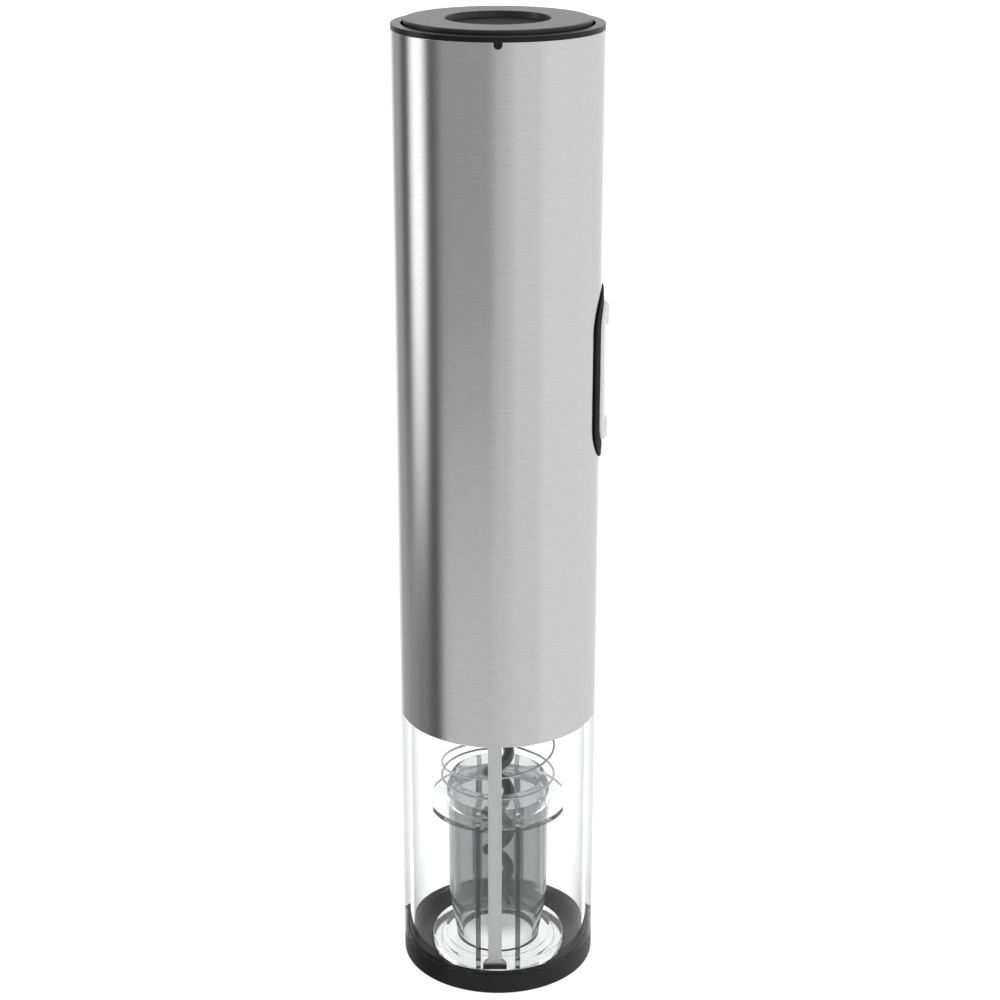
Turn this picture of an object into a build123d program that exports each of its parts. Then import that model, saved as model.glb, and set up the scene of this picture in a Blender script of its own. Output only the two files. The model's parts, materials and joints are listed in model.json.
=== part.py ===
"""Electric wine opener: a steel and clear-plastic cylinder with a motor-driven cork screw.

Frame: +Z up, origin on the axis at the bottom face, -Y is the front (the strip's side), +X the button side.
Lengths are in millimetres.
"""

from build123d import *
from math import acos, cos, degrees, pi, radians, sin, tan
import os

# ---- driving dimensions -------------------------------------------------------------------------
BODY_R = 25.0
SHELL_WALL = 0.6
SHELL_Z = 70.83
SHELL_TOP = 243.05
INNER_R = 24.3
FIT = 0.05
GAP = 0.3

KEY_WIDTH = 2.0
KEY_TOP_DEPTH = 1.63
KEY_LOW_DEPTH = 1.52

BASE_H = 5.45
BASE_EDGE = 0.4
NECK_R = 17.0
SEAT_R = 17.9
LIP_H = 1.0
FLOOR_H = 2.0
GROOVE_R = (23.3, 24.2)
GROOVE_Z = 3.4

TUBE_IN_R = 22.5
TUBE_TOP = 99.0

FLANGE_TOP = 244.29
FLANGE_R = 24.93
RING_BORE_R = 22.5
RING_LOW = 235.5
LUG_R = 21.3
CAP_TURN = 25.0
LUG_ANGLE = 14.0
LUG_Z = 237.6
LUG_H = 2.0

CAP_TOP = 245.34
CAP_R = 21.9
CAP_EDGE = 0.5
CAP_PLATE_Z = 240.0
CAP_SKIRT_IN_R = 20.5
CAP_SKIRT_Z = 236.0
CAP_DISH_R = 12.04
CAP_DISH_DEPTH = 1.5

BUTTON_Z = 160.7
BUTTON_SPAN = 22.8
BEZEL_HALF = 10.2
BEZEL_LIP = 1.0
BEZEL_RIM_R = 25.6
BEZEL_BACK = 21.0
OPENING_HALF = 6.55
ROCKER_HALF = 6.15
ROCKER_FACE_R = 26.4
ROCKER_BACK = 22.6
DOME_R = 3.0
DOME_OFFSET = 3.0
DOME_X = 26.95
PIVOT_X = 21.9
PIN_R = 0.75
LEG_Z = 12.0
LEG_TIP = 21.75
EAR_IN = 5.3
EAR_OUT = 8.0
EAR_X = 22.3
EAR_HALF_H = 2.0
PIVOT_BLOCK_Y = 4.9
PIVOT_BLOCK_H = 1.6
PIN_HALF = 7.2
CROSS_CUT = 20.0

STRIP_X = (-2.49, 0.94)
STRIP_FOOT_X = (-3.88, 2.25)
STRIP_Y = -21.9
STRIP_T = 0.9
STRIP_TOP = 131.5
STRIP_SHOULDER = 8.2
STRIP_BEND = 6.8
STRIP_TAB_Y = -18.9
STRIP_TAB_Z = 3.4
SLIDE_GAP = 0.4

BARREL_R = 12.95
BARREL_Z = 3.6
BARREL_TAPER_Z = 15.6
BARREL_LOW_R = 10.9
BARREL_WALL = 1.5
BARREL_RIB_R = 10.0
BARREL_RIB_W = 1.2
BARREL_RIBS = 6

FOOT_R = 17.6
FOOT_Z = 1.2
FOOT_TOP = 4.3
FOOT_TAPER = 0.2
FOOT_SEAT_R = 15.1
FOOT_SEAT_Z = 3.0
FOOT_STEP_R = 14.1
FOOT_STEP_W = 0.8
FOOT_STEP_H = 0.4
SLEEVE_FLANGE_R = 18.0
SLEEVE_FLANGE_Z = 43.0
SLEEVE_FLANGE_TOP = 44.5
FLANGE_FLAT_X = 16.9
COLLAR_R = 13.4
COLLAR_TOP = 47.0
COLLAR_BAND = 0.6
MOUTH_STEP = 1.0
SEAM = 0.5
LIP_R = 12.3
LIP_TOP = 50.7
MOUTH_R = 11.5
MOUTH_LOW_R = 10.2
FIN_X = 5.1
FIN_T = 1.3
FIN_Y = 18.4
FIN_Z = 3.2
FIN_TOP = 46.8
SPRING_RIB_Y = (13.2, 15.2)
SPRING_RIB_W = 1.5
SPRING_RIB_TOP = 50.45

SPRING_R = 14.6
SPRING_WIRE_R = 0.4
SPRING_Z = 50.9
SPRING_TURNS = 7

WORM_R = 2.85
WORM_WIRE_R = 1.45
WORM_PITCH = 11.5
WORM_TIP_Z = 10.9
WORM_TURNS = 7.35
WORM_SHANK = 4.5

PLATE_Z = 102.0
PLATE_T = 3.0
HUB_R = 4.5
HUB_Z = 98.0
BUSH_R = 6.5

MODULE = 0.5
PRESSURE = radians(25)
SUN_TEETH = 12
PLANET_TEETH = 24
RING_TEETH = 60
ADDENDUM = 0.8
DEDENDUM = 1.25
BACKLASH = 0.06
PLANETS = 3
GEAR_CASE_R = 17.5
GEAR_CASE_TOP = 126.0
CARRIER_R = 14.2
CARRIER_Z = 108.0
CARRIER_T = 2.5
OUT_PLANET_Z = 111.0
OUT_PLANET_H = 6.0
FIRST_CARRIER_Z = 117.6
FIRST_CARRIER_T = 2.0
FIRST_PLANET_Z = 120.2
FIRST_PLANET_H = 5.0
PLANET_PIN_R = 1.0
PIN_PROUD = 0.3

MOTOR_Z = 128.0
MOTOR_R = 13.85
MOTOR_WALL = 0.85
MOTOR_TOP = 160.6
END_CAP_TOP = 164.0
SHAFT_R = 1.15
SHAFT_TOP = 166.0
MAGNET_R = 10.9
ARMATURE_R = 10.3
ARMATURE_Z = (134.0, 151.0)
COMMUTATOR_Z = (154.0, 158.5)
COMMUTATOR_R = 3.2
WINDING_R = (6.0, 9.6)
WINDING_H = 2.0
MOTOR_SCREW_R = 1.25
MOTOR_SCREW_PCD_R = 8.0

CHASSIS_R = 24.1
CHASSIS_IN_R = 22.4
CHASSIS_TOP = 185.0
SCREW_X = 19.9
SCREW_R = 1.1
BOSS_R = 2.2
BOSS_Y = 8.0

BOARD_X = 17.0
BOARD_T = 1.6
BOARD_HALF = 11.4
BOARD_Z = (136.0, 183.0)
SWITCH_SIZE = 6.0
SWITCH_TOP_X = 20.2
PLUNGER_R = 1.6
PLUNGER_X = (19.6, 21.0)

LIMIT_Z = (135.4, 145.4)
LIMIT_PLUNGER_LOW = 133.6

TRAY_R = 20.0
TRAY_TOP = 236.5
TRAY_FLOOR = 1.5
CELL_R = 7.25
CELL_OFFSET = 7.4
CELL_Z = (188.0, 238.5)
CELL_BUTTON_R = 2.75
CELL_BUTTON_H = 1.4
CONTACT_T = 0.4
CONTACT_SPRING_R = 3.4
CONTACT_WIRE_R = 0.2

SHELL_IN_R = BODY_R - SHELL_WALL
SUN_R = MODULE * SUN_TEETH / 2
PLANET_R = MODULE * PLANET_TEETH / 2
RING_R = MODULE * RING_TEETH / 2
PLANET_PLACE_R = SUN_R + PLANET_R
CELL_PLACES = [(sx * CELL_OFFSET, sy * CELL_OFFSET) for sx, sy in ((1, 1), (-1, 1), (-1, -1), (1, -1))]


# ---- helpers ------------------------------------------------------------------------------------
def save(part, name):
    """Labels a finished piece and writes its STEP file."""
    part.label = name
    os.makedirs("parts", exist_ok=True)
    export_step(part, "parts/" + name + ".step")


def turned(points):
    """A solid of revolution about Z from (radius, height) corners."""
    with BuildPart() as body:
        with BuildSketch(Plane.XZ):
            with BuildLine():
                Polyline(*points, close=True)
            make_face()
        revolve(axis=Axis.Z)
    return body.part


def tube(outer, inner, low, high, centre=(0, 0)):
    """A plain ring about a vertical axis."""
    with BuildPart() as body:
        with BuildSketch(Plane((centre[0], centre[1], low))):
            Circle(outer)
            if inner > 0:
                Circle(inner, mode=Mode.SUBTRACT)
        extrude(amount=high - low)
    return body.part


def block(low, high):
    """A box between two opposite corners."""
    size = [high[i] - low[i] for i in range(3)]
    middle = [(high[i] + low[i]) / 2 for i in range(3)]
    with BuildPart(Plane(tuple(middle))) as body:
        Box(*size)
    return body.part


def stadium(half, depth_low, depth_high):
    """An upright stadium on the button side, from one X to another."""
    with BuildPart() as body:
        with BuildSketch(Plane((depth_low, 0, BUTTON_Z), x_dir=(0, 0, 1), z_dir=(1, 0, 0))):
            SlotCenterToCenter(BUTTON_SPAN, 2 * half)
        extrude(amount=depth_high - depth_low)
    return body.part


def coil(radius, wire, pitch, turns, low, centre=(0, 0)):
    """A right-handed helical wire, its centre line starting at +X at height low."""
    with BuildPart() as body:
        with BuildLine() as path:
            Helix(pitch=pitch, height=pitch * turns, radius=radius, center=(centre[0], centre[1], low))
        start = path.line
        with BuildSketch(Plane(start @ 0, z_dir=start % 0)):
            Circle(wire)
        sweep(path=start, is_frenet=True)
    return body.part


def involute(angle):
    return tan(angle) - angle


def flank_point(teeth, radius, centre, side, slack):
    """A point of a tooth's flank; the slack thins the tooth at the pitch circle."""
    pitch_r = MODULE * teeth / 2
    pressure = acos(min(1.0, pitch_r * cos(PRESSURE) / radius))
    half = pi / (2 * teeth) - slack / (2 * pitch_r) + involute(PRESSURE) - involute(pressure)
    angle = centre + side * half
    return (radius * cos(angle), radius * sin(angle))


def gear_outline(teeth, low_r, high_r, phase, slack):
    """The closed outline of a toothed disc, drawn in the current line builder."""
    middle_r = (low_r + high_r) / 2
    pitch = 2 * pi / teeth
    for k in range(teeth):
        centre = phase + k * pitch
        start = [flank_point(teeth, r, centre, -1, slack) for r in (low_r, middle_r, high_r)]
        end = [flank_point(teeth, r, centre, 1, slack) for r in (high_r, middle_r, low_r)]
        ThreePointArc(*start)
        Line(start[2], end[0])
        ThreePointArc(*end)
        Line(end[2], flank_point(teeth, low_r, centre + pitch, -1, slack))


def spur_gear(teeth, low, height, bore, place=(0, 0), phase=0.0):
    """An external gear standing on height low."""
    pitch_r = MODULE * teeth / 2
    low_r = pitch_r - DEDENDUM * MODULE
    with BuildPart() as body:
        with BuildSketch(Plane((place[0], place[1], low))):
            with BuildLine():
                gear_outline(teeth, low_r, pitch_r + ADDENDUM * MODULE, phase, BACKLASH)
            make_face()
            if bore > 0:
                Circle(bore, mode=Mode.SUBTRACT)
        extrude(amount=height)
    return body.part


def around(radius, count, first=0.0):
    """Places evenly round the axis."""
    step = 2 * pi / count
    return [(radius * cos(first + k * step), radius * sin(first + k * step)) for k in range(count)]


def joined(first, *others):
    """Several touching solids made into one."""
    with BuildPart() as body:
        add(first)
        for other in others:
            add(other)
    return body.part


def cut(first, *tools):
    """A solid with others taken out of it."""
    with BuildPart() as body:
        add(first)
        for tool in tools:
            add(tool, mode=Mode.SUBTRACT)
    return body.part


def common(first, other):
    """What two solids share."""
    with BuildPart() as body:
        add(first)
        add(other, mode=Mode.INTERSECT)
    return body.part


def key_slot(low, high, inner, outer, width):
    """A round-ended upright key at the front."""
    with BuildPart() as body:
        with BuildSketch(Plane((0, -inner, (low + high) / 2), x_dir=(0, 0, 1), z_dir=(0, -1, 0))):
            SlotOverall(high - low, width)
        extrude(amount=outer - inner)
    return body.part


def group(*solids):
    """Separate solids kept as one node."""
    return Compound(children=list(solids))


# ---- outer casing -------------------------------------------------------------------------------
def make_steel_shell():
    shell = tube(BODY_R, SHELL_IN_R, SHELL_Z, SHELL_TOP)
    window = stadium(BEZEL_HALF + FIT, BODY_R / 2, BODY_R + 1)
    top_key = key_slot(SHELL_TOP - KEY_TOP_DEPTH, SHELL_TOP + 2, 20, BODY_R + 1, KEY_WIDTH + 2 * FIT)
    low_key = key_slot(SHELL_Z - 2, SHELL_Z + KEY_LOW_DEPTH, 20, BODY_R + 1, KEY_WIDTH + 2 * FIT)
    save(cut(shell, window, top_key, low_key), "steel_shell")


def make_top_ring():
    """The fixed collar: a flange, a spigot inside the shell and three bayonet lugs."""
    body = turned(
        [(RING_BORE_R, RING_LOW), (INNER_R, RING_LOW), (INNER_R, SHELL_TOP), (FLANGE_R, SHELL_TOP),
         (FLANGE_R, FLANGE_TOP), (RING_BORE_R, FLANGE_TOP)]
    )
    key = key_slot(SHELL_TOP - KEY_TOP_DEPTH + FIT, SHELL_TOP + 0.5, INNER_R - 0.5, FLANGE_R, KEY_WIDTH)
    lugs = [
        sector(LUG_R, RING_BORE_R + 0.5, LUG_Z, LUG_Z + LUG_H, 120 * k - LUG_ANGLE / 2, LUG_ANGLE)
        for k in range(3)
    ]
    save(joined(body, key, *lugs), "top_ring")


def sector(inner, outer, low, high, first, sweep_angle):
    """Part of a ring between two angles in degrees."""
    with BuildPart() as body:
        with BuildSketch(Plane.XZ.rotated((0, 0, first))):
            with BuildLine():
                Polyline((inner, low), (outer, low), (outer, high), (inner, high), close=True)
            make_face()
        revolve(axis=Axis.Z, revolution_arc=sweep_angle)
    return body.part


def make_battery_cap():
    disc = turned(
        [(0, CAP_PLATE_Z), (CAP_SKIRT_IN_R, CAP_PLATE_Z), (CAP_SKIRT_IN_R, CAP_SKIRT_Z), (CAP_R, CAP_SKIRT_Z),
         (CAP_R, CAP_TOP - CAP_EDGE), (CAP_R - CAP_EDGE, CAP_TOP), (CAP_DISH_R, CAP_TOP),
         (CAP_DISH_R, CAP_TOP - CAP_DISH_DEPTH), (0, CAP_TOP - CAP_DISH_DEPTH)]
    )
    slots = []
    for k in range(3):
        first = 120 * k - LUG_ANGLE / 2 - 1 - CAP_TURN
        slots.append(sector(LUG_R - 2 * FIT, CAP_R + 1, LUG_Z - FIT, LUG_Z + LUG_H + FIT,
                            first, LUG_ANGLE + 2 + CAP_TURN))
        slots.append(sector(LUG_R - 2 * FIT, CAP_R + 1, CAP_SKIRT_Z - 1, LUG_Z + 1, first, LUG_ANGLE + 2))
    save(cut(disc, *slots), "battery_cap")
    plates = [tube(5, 0, CAP_PLATE_Z - CONTACT_T, CAP_PLATE_Z, place) for place in CELL_PLACES]
    save(group(*plates), "cap_contacts")


def make_buttons():
    """The black bezel, the clear rocker with its two domes, and the pin it tilts on."""
    rim = common(stadium(BEZEL_HALF, BEZEL_BACK, BODY_R + 2), tube(BEZEL_RIM_R, 0, 130, 195))
    lip = common(
        stadium(BEZEL_HALF + BEZEL_LIP, BEZEL_BACK, BODY_R), tube(SHELL_IN_R - FIT, 0, 130, 195)
    )
    opening = stadium(OPENING_HALF, BEZEL_BACK - 1, BODY_R + 3)
    ears = []
    for low_y, high_y in ((EAR_IN, EAR_OUT), (-EAR_OUT, -EAR_IN)):
        ears.append(block((BEZEL_BACK, low_y, BUTTON_Z - EAR_HALF_H), (EAR_X, high_y, BUTTON_Z + EAR_HALF_H)))
    frame = joined(cut(joined(rim, lip), opening), *ears)
    with BuildPart() as bezel:
        add(frame)
        with BuildSketch(Plane((PIVOT_X, 0, BUTTON_Z), x_dir=(1, 0, 0), z_dir=(0, 1, 0))):
            Circle(PIN_R)
        extrude(amount=CROSS_CUT, both=True, mode=Mode.SUBTRACT)
    save(bezel.part, "button_bezel")

    plate = common(stadium(ROCKER_HALF, ROCKER_BACK, BODY_R + 2), tube(ROCKER_FACE_R, 0, 130, 195))
    with BuildPart() as rocker:
        add(plate)
        add(block((PIVOT_X - PIVOT_BLOCK_H, -PIVOT_BLOCK_Y, BUTTON_Z - PIVOT_BLOCK_H),
                  (ROCKER_BACK, PIVOT_BLOCK_Y, BUTTON_Z + PIVOT_BLOCK_H)))
        for side in (1, -1):
            middle = BUTTON_Z + side * (BUTTON_SPAN / 2 + DOME_OFFSET)
            with BuildSketch(Plane((ROCKER_BACK, 0, middle), x_dir=(0, 1, 0), z_dir=(1, 0, 0))):
                Circle(DOME_R)
            extrude(amount=DOME_X - ROCKER_BACK)
            leg_z = BUTTON_Z + side * LEG_Z
            add(block((LEG_TIP, -1, leg_z - 1), (ROCKER_BACK, 1, leg_z + 1)))
        with BuildSketch(Plane((PIVOT_X, 0, BUTTON_Z), x_dir=(1, 0, 0), z_dir=(0, 1, 0))):
            Circle(PIN_R + FIT)
        extrude(amount=CROSS_CUT, both=True, mode=Mode.SUBTRACT)
    save(rocker.part, "button_rocker")

    with BuildPart() as pin:
        with BuildSketch(Plane((PIVOT_X, 0, BUTTON_Z), x_dir=(1, 0, 0), z_dir=(0, 1, 0))):
            Circle(PIN_R)
        extrude(amount=PIN_HALF, both=True)
    save(pin.part, "rocker_pin")


def make_tube_and_base():
    wall = turned(
        [(TUBE_IN_R, BASE_H), (GROOVE_R[0] + FIT, BASE_H), (GROOVE_R[0] + FIT, GROOVE_Z + 0.2),
         (GROOVE_R[1] - FIT, GROOVE_Z + 0.2), (GROOVE_R[1] - FIT, BASE_H), (BODY_R, BASE_H),
         (BODY_R, SHELL_Z), (INNER_R, SHELL_Z), (INNER_R, TUBE_TOP), (TUBE_IN_R, TUBE_TOP)]
    )
    key = key_slot(SHELL_Z - 1, SHELL_Z + KEY_LOW_DEPTH - FIT, INNER_R - 0.5, BODY_R - 0.05, KEY_WIDTH)
    save(joined(wall, key), "clear_tube")
    base = turned(
        [(NECK_R, 0), (BODY_R - BASE_EDGE, 0), (BODY_R, BASE_EDGE), (BODY_R, BASE_H), (GROOVE_R[1], BASE_H),
         (GROOVE_R[1], GROOVE_Z), (GROOVE_R[0], GROOVE_Z), (GROOVE_R[0], BASE_H), (TUBE_IN_R, BASE_H),
         (TUBE_IN_R, FLOOR_H), (SEAT_R, FLOOR_H), (SEAT_R, LIP_H), (NECK_R, LIP_H)]
    )
    save(base, "base_ring")


def make_trip_strip():
    inner_y = STRIP_Y + STRIP_T
    tab_z = STRIP_TAB_Z + STRIP_T
    blade = block((STRIP_X[0], STRIP_Y, STRIP_BEND), (STRIP_X[1], inner_y, STRIP_TOP))
    with BuildPart() as foot:
        with BuildSketch(Plane((STRIP_FOOT_X[0], 0, 0), x_dir=(0, 1, 0), z_dir=(1, 0, 0))):
            with BuildLine():
                Polyline((STRIP_Y, STRIP_SHOULDER), (STRIP_Y, STRIP_BEND), (STRIP_TAB_Y, STRIP_TAB_Z),
                         (STRIP_TAB_Y, tab_z), (inner_y, STRIP_BEND + 0.3), (inner_y, STRIP_SHOULDER),
                         close=True)
            make_face()
        extrude(amount=STRIP_FOOT_X[1] - STRIP_FOOT_X[0])
    save(joined(blade, foot.part), "trip_strip")


# ---- cork sleeve, spring and worm ---------------------------------------------------------------
def make_sleeve():
    throat_r = BARREL_LOW_R - BARREL_WALL
    web_top = FOOT_TOP - FOOT_STEP_H
    foot = turned(
        [(FOOT_SEAT_R, FOOT_Z), (FOOT_R, FOOT_Z), (FOOT_R - FOOT_TAPER, FOOT_TOP), (FOOT_STEP_R, FOOT_TOP),
         (FOOT_STEP_R - FOOT_STEP_W, web_top), (BARREL_LOW_R + FIT, web_top), (BARREL_LOW_R + FIT, BARREL_Z),
         (throat_r, BARREL_Z), (throat_r, FOOT_SEAT_Z), (FOOT_SEAT_R, FOOT_SEAT_Z)]
    )
    flange = common(
        tube(SLEEVE_FLANGE_R, BARREL_R + FIT, SLEEVE_FLANGE_Z, SLEEVE_FLANGE_TOP),
        block((-FLANGE_FLAT_X, -BODY_R, SLEEVE_FLANGE_Z), (FLANGE_FLAT_X, BODY_R, SLEEVE_FLANGE_TOP)),
    )
    collar = tube(COLLAR_R, BARREL_R + FIT, SLEEVE_FLANGE_Z + SEAM, COLLAR_TOP)
    fins = []
    for sx in (1, -1):
        for sy in (1, -1):
            x_side = sorted((sx * (FIN_X - FIN_T / 2), sx * (FIN_X + FIN_T / 2)))
            y_side = sorted((sy * FOOT_STEP_R, sy * FIN_Y))
            fins.append(block((x_side[0], y_side[0], FIN_Z), (x_side[1], y_side[1], FIN_TOP)))
    rib_z = SLEEVE_FLANGE_TOP - SEAM
    near, far = SPRING_RIB_Y
    ribs = [
        block((-SPRING_RIB_W, low_y, rib_z), (0, high_y, SPRING_RIB_TOP))
        for low_y, high_y in ((near, far), (-far, -near))
    ]
    lip_room = tube(COLLAR_R + 2 * FIT, 0, COLLAR_TOP, LIP_TOP)
    save(cut(joined(foot, flange, collar, *fins, *ribs), lip_room), "sleeve_carrier")

    bore_r = BARREL_R - BARREL_WALL
    shell = turned(
        [(throat_r, BARREL_Z), (BARREL_LOW_R, BARREL_Z), (BARREL_LOW_R, FOOT_TOP), (BARREL_R, BARREL_TAPER_Z),
         (BARREL_R, COLLAR_TOP), (COLLAR_R, COLLAR_TOP), (COLLAR_R, COLLAR_TOP + COLLAR_BAND),
         (LIP_R, LIP_TOP), (MOUTH_R, LIP_TOP), (MOUTH_LOW_R, COLLAR_TOP + MOUTH_STEP),
         (MOUTH_LOW_R, COLLAR_TOP),
         (bore_r, COLLAR_TOP - MOUTH_STEP), (bore_r, BARREL_TAPER_Z)]
    )
    rib = block((BARREL_RIB_R, -BARREL_RIB_W / 2, BARREL_TAPER_Z),
                (BARREL_R - SEAM, BARREL_RIB_W / 2, COLLAR_TOP - SEAM))
    with BuildPart() as barrel:
        add(shell)
        with PolarLocations(0, BARREL_RIBS):
            add(rib)
    save(barrel.part, "cork_barrel")


def make_spring_and_worm():
    height = PLATE_Z - SPRING_WIRE_R - FIT - SPRING_Z
    save(coil(SPRING_R, SPRING_WIRE_R, height / SPRING_TURNS, SPRING_TURNS, SPRING_Z), "return_spring")
    screw = coil(WORM_R, WORM_WIRE_R, WORM_PITCH, WORM_TURNS, WORM_TIP_Z)
    shank = tube(HUB_R - FIT, 0, HUB_Z - WORM_SHANK, HUB_Z)
    save(joined(screw, shank), "worm")


# ---- frame and gearbox --------------------------------------------------------------------------
def strip_channel():
    """The room the strip slides in, through the seat and the front chassis half."""
    low, high = STRIP_FOOT_X
    inner_y = STRIP_Y + STRIP_T + GAP
    return block((low - SLIDE_GAP, -BODY_R, HUB_Z), (high + SLIDE_GAP, inner_y, LIMIT_Z[1] + SEAM))


def make_frame():
    seat = cut(tube(CHASSIS_R, BUSH_R, PLATE_Z, PLATE_Z + PLATE_T), strip_channel())
    save(seat, "spring_seat")
    save(tube(BUSH_R, HUB_R + FIT, PLATE_Z, PLATE_Z + PLATE_T), "output_bushing")
    low = PLATE_Z + PLATE_T
    wall = joined(
        tube(CHASSIS_R, CHASSIS_IN_R, low, CHASSIS_TOP),
        tube(CHASSIS_R, GEAR_CASE_R, GEAR_CASE_TOP - 4, GEAR_CASE_TOP - 1),
        tube(CHASSIS_R, GEAR_CASE_R, low + 2, low + 4),
    )
    window = block((12, -11.9, BOARD_Z[0] - 0.5), (26, 11.9, CHASSIS_TOP))
    pocket = block((-4.6, -26, LIMIT_Z[0] - 0.5), (4.6, -14, LIMIT_Z[1] + 0.5))
    places = [(-SCREW_X, 112), (SCREW_X, 112), (-SCREW_X, 147), (-SCREW_X, 176)]
    bosses = [side_rod(x, z, BOSS_R, -BOSS_Y, BOSS_Y) for x, z in places]
    bores = [side_rod(x, z, SCREW_R, -BOSS_Y - 1, BOSS_Y + 1) for x, z in places]
    whole = cut(joined(wall, *bosses), window, pocket, strip_channel(), *bores)
    gear_room = tube(GEAR_CASE_R, 0, low - 1, GEAR_CASE_TOP + 2)
    for name, front in (("chassis_front", True), ("chassis_rear", False)):
        y_range = (-30, 0) if front else (0, 30)
        half = common(whole, block((-30, y_range[0], 90), (30, y_range[1], 200)))
        save(cut(half, gear_room), name)
    save(group(*[side_rod(x, z, SCREW_R, -BOSS_Y, BOSS_Y) for x, z in places]), "chassis_screws")


def side_rod(x, z, radius, low, high):
    """A cylinder lying along Y."""
    with BuildPart() as body:
        with BuildSketch(Plane((x, low, z), x_dir=(1, 0, 0), z_dir=(0, 1, 0))):
            Circle(radius)
        extrude(amount=high - low)
    return body.part


def make_gearbox():
    case = tube(GEAR_CASE_R, 0, PLATE_Z + PLATE_T, GEAR_CASE_TOP)
    with BuildPart() as teeth:
        with BuildSketch(Plane((0, 0, PLATE_Z + PLATE_T))):
            with BuildLine():
                gear_outline(RING_TEETH, RING_R - ADDENDUM * MODULE, RING_R + DEDENDUM * MODULE,
                             pi / RING_TEETH, -BACKLASH)
            make_face()
        extrude(amount=GEAR_CASE_TOP - PLATE_Z - PLATE_T)
    save(cut(case, teeth.part), "ring_gear")

    places = around(PLANET_PLACE_R, PLANETS)
    disc = tube(CARRIER_R, 0, CARRIER_Z, CARRIER_Z + CARRIER_T)
    hub = tube(HUB_R, 0, HUB_Z, CARRIER_Z)
    save(joined(disc, hub), "output_carrier")
    sun = spur_gear(SUN_TEETH, OUT_PLANET_Z, FIRST_CARRIER_Z - OUT_PLANET_Z, 0)
    disc = tube(CARRIER_R, 0, FIRST_CARRIER_Z, FIRST_CARRIER_Z + FIRST_CARRIER_T)
    save(joined(disc, sun), "first_carrier")
    for stage, low, height, foot in (
        ("output", OUT_PLANET_Z, OUT_PLANET_H, CARRIER_Z + CARRIER_T),
        ("first", FIRST_PLANET_Z, FIRST_PLANET_H, FIRST_CARRIER_Z + FIRST_CARRIER_T),
    ):
        pins = [tube(PLANET_PIN_R, 0, foot, low + height + PIN_PROUD, place) for place in places]
        save(group(*pins), stage + "_pins")
        for k, place in enumerate(places):
            wheel = spur_gear(PLANET_TEETH, low, height, PLANET_PIN_R + FIT, place, pi / PLANET_TEETH)
            save(wheel, stage + "_planet_" + str(k + 1))


# ---- motor --------------------------------------------------------------------------------------
def make_motor():
    save(spur_gear(SUN_TEETH, FIRST_PLANET_Z, FIRST_PLANET_H + 0.3, SHAFT_R), "motor_pinion")
    screw_places = [(MOTOR_SCREW_PCD_R, 0), (-MOTOR_SCREW_PCD_R, 0)]
    bores = [tube(MOTOR_SCREW_R, 0, GEAR_CASE_TOP - 1, MOTOR_Z + 2, place) for place in screw_places]
    plate = tube(GEAR_CASE_R, 3.2, GEAR_CASE_TOP, MOTOR_Z)
    save(cut(plate, *bores), "motor_plate")
    screws = [tube(MOTOR_SCREW_R, 0, GEAR_CASE_TOP, MOTOR_Z + MOTOR_WALL, place) for place in screw_places]
    save(group(*screws), "motor_screws")
    can = turned(
        [(SHAFT_R + FIT, MOTOR_Z), (MOTOR_R, MOTOR_Z), (MOTOR_R, MOTOR_TOP),
         (MOTOR_R - MOTOR_WALL, MOTOR_TOP), (MOTOR_R - MOTOR_WALL, MOTOR_Z + MOTOR_WALL),
         (SHAFT_R + FIT, MOTOR_Z + MOTOR_WALL)]
    )
    save(cut(can, *bores), "motor_can")
    save(tube(MOTOR_R, SHAFT_R + FIT, MOTOR_TOP, END_CAP_TOP), "motor_end_cap")
    save(tube(SHAFT_R, 0, FIRST_PLANET_Z, SHAFT_TOP), "motor_shaft")
    save(make_armature(), "motor_armature")
    coil_z = ARMATURE_Z[1]
    windings = [sector(*WINDING_R, coil_z, coil_z + WINDING_H, 120 * k + 30, 60) for k in range(3)]
    save(group(*windings), "motor_windings")
    save(tube(COMMUTATOR_R, SHAFT_R, *COMMUTATOR_Z), "motor_commutator")
    magnets = [sector(MAGNET_R, MOTOR_R - MOTOR_WALL, 132, 153, first, 130) for first in (25, 205)]
    save(group(*magnets), "motor_magnets")
    ends = [block((s * 9 - 1.2, -0.25, END_CAP_TOP), (s * 9 + 1.2, 0.25, END_CAP_TOP + 4)) for s in (1, -1)]
    save(group(*ends), "motor_terminals")


def make_armature():
    """A three-pole iron core on the shaft."""
    with BuildPart() as body:
        with BuildSketch(Plane((0, 0, ARMATURE_Z[0]))):
            Circle(ARMATURE_R)
            with PolarLocations(6.6, 3):
                Rectangle(4.5, 6.5, mode=Mode.SUBTRACT)
            Circle(SHAFT_R, mode=Mode.SUBTRACT)
        extrude(amount=ARMATURE_Z[1] - ARMATURE_Z[0])
    return body.part


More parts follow.
